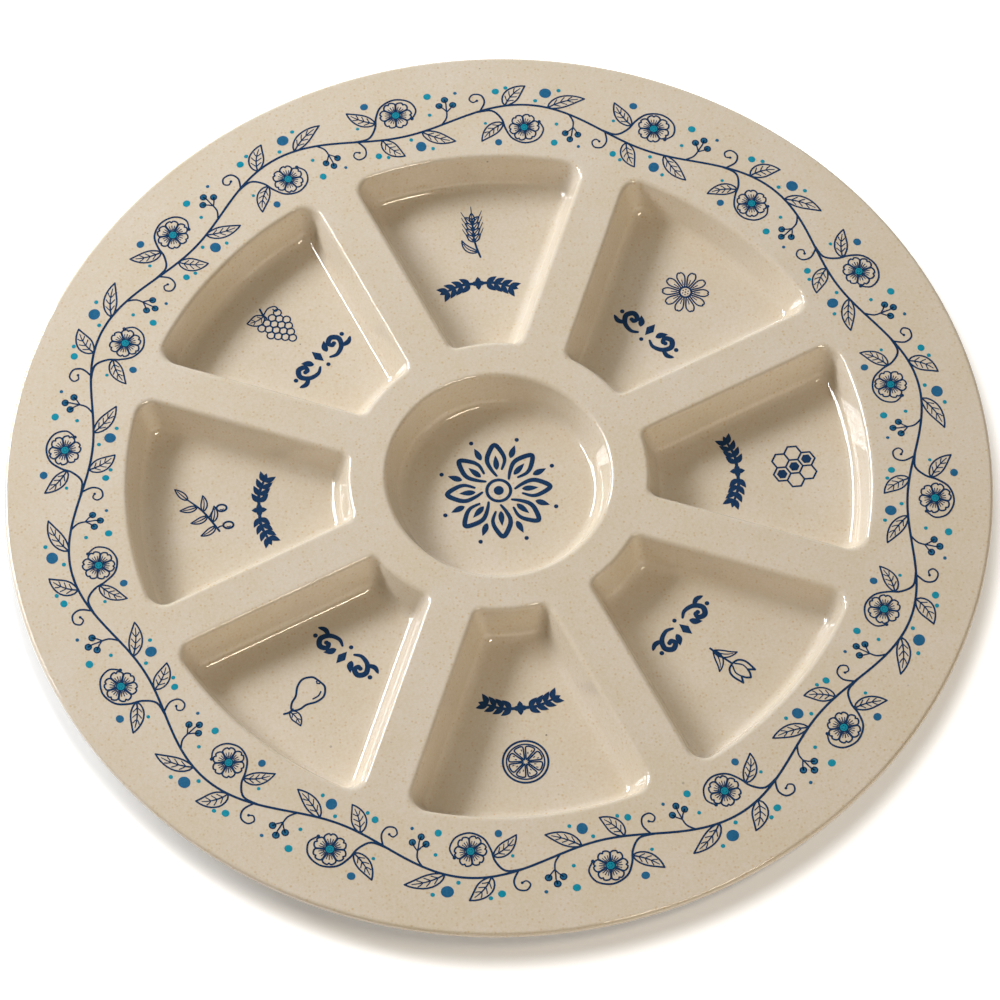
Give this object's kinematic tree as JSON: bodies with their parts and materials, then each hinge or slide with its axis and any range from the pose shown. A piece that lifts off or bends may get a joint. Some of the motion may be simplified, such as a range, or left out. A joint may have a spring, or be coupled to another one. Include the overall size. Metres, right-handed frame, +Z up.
{
  "type": "divided serving plate",
  "caption": "Round moulded serving plate with wedge wells around a round centre well and a broad flat printed rim.",
  "frame": {"origin": "centre of the plane on which the undersides of the wells rest", "axes": "+Z up out of the face of the plate, +Y through the middle of well 1, wells numbered anticlockwise seen from above"},
  "size_m": [0.33, 0.33, 0.0149],
  "materials": {
    "compound": "glossy bamboo-fibre melamine with fine fibre specks",
    "print": "printed decal foil under a clear glaze"
  },
  "bodies": {
    "root": {"plate_body": "compound", "rim_decal": "print", "centre_decal": "print", "well_decal_1": "print", "well_decal_2": "print", "well_decal_3": "print", "well_decal_4": "print", "well_decal_5": "print", "well_decal_6": "print", "well_decal_7": "print", "well_decal_8": "print"}
  },
  "joints": []
}
